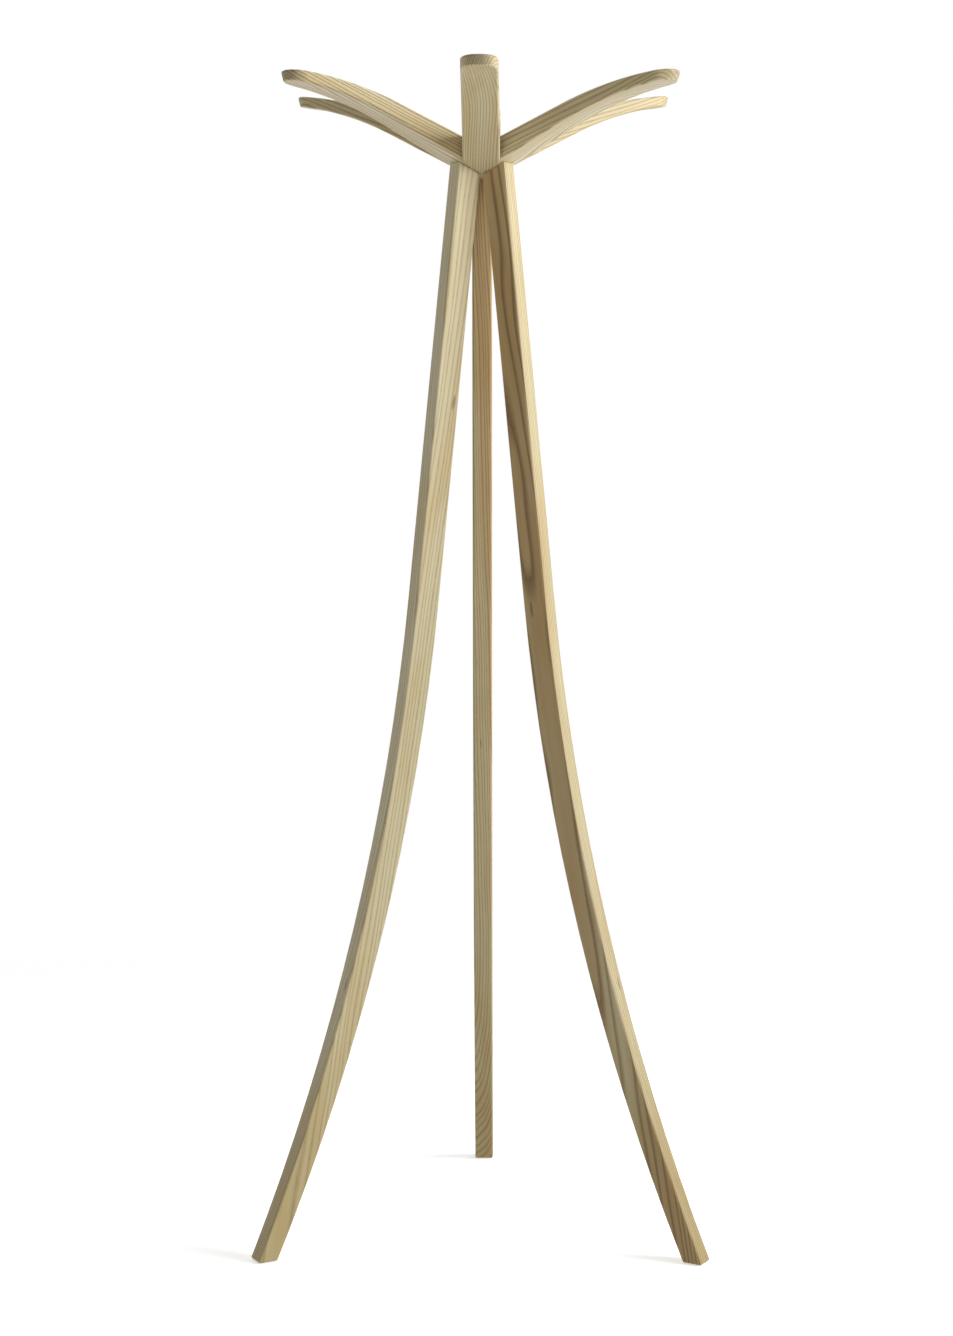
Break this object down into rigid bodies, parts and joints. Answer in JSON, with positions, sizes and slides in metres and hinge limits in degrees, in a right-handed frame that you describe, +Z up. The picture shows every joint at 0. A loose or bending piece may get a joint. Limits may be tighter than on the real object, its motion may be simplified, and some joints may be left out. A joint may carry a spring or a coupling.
{
  "type": "standing coat rack",
  "caption": "Free-standing wooden coat rack: arms fan out from a mitred star hub and level off at rounded tips, on slender legs that sweep outwards to the floor.",
  "frame": {"origin": "on the floor, under the axis of the star of arms", "axes": "+Z up; the arm between the two front legs points to -Y; +X is to the right of someone who faces that arm"},
  "size_m": [0.6828, 0.7139, 1.7492],
  "materials": {
    "ash": "clear matt lacquer on planed ash",
    "beech": "plain planed beech",
    "steel": "bright zinc plating",
    "brass": "plain turned brass",
    "nylon": "natural white nylon"
  },
  "bodies": {
    "root": {"arm_front": "ash", "arm_front_right": "ash", "arm_back_right": "ash", "arm_back": "ash", "arm_back_left": "ash", "arm_front_left": "ash", "leg_front_right": "ash", "leg_back": "ash", "leg_front_left": "ash", "tenon_after_front": "beech", "tenon_after_front_right": "beech", "tenon_after_back_right": "beech", "tenon_after_back": "beech", "tenon_after_back_left": "beech", "tenon_after_front_left": "beech", "dowel_front_right": "beech", "dowel_back": "beech", "dowel_front_left": "beech", "glide_front_right": "nylon", "glide_back": "nylon", "glide_front_left": "nylon", "leg_bolts": "steel", "leg_bolt_washers": "steel", "leg_inserts": "brass"}
  },
  "joints": []
}
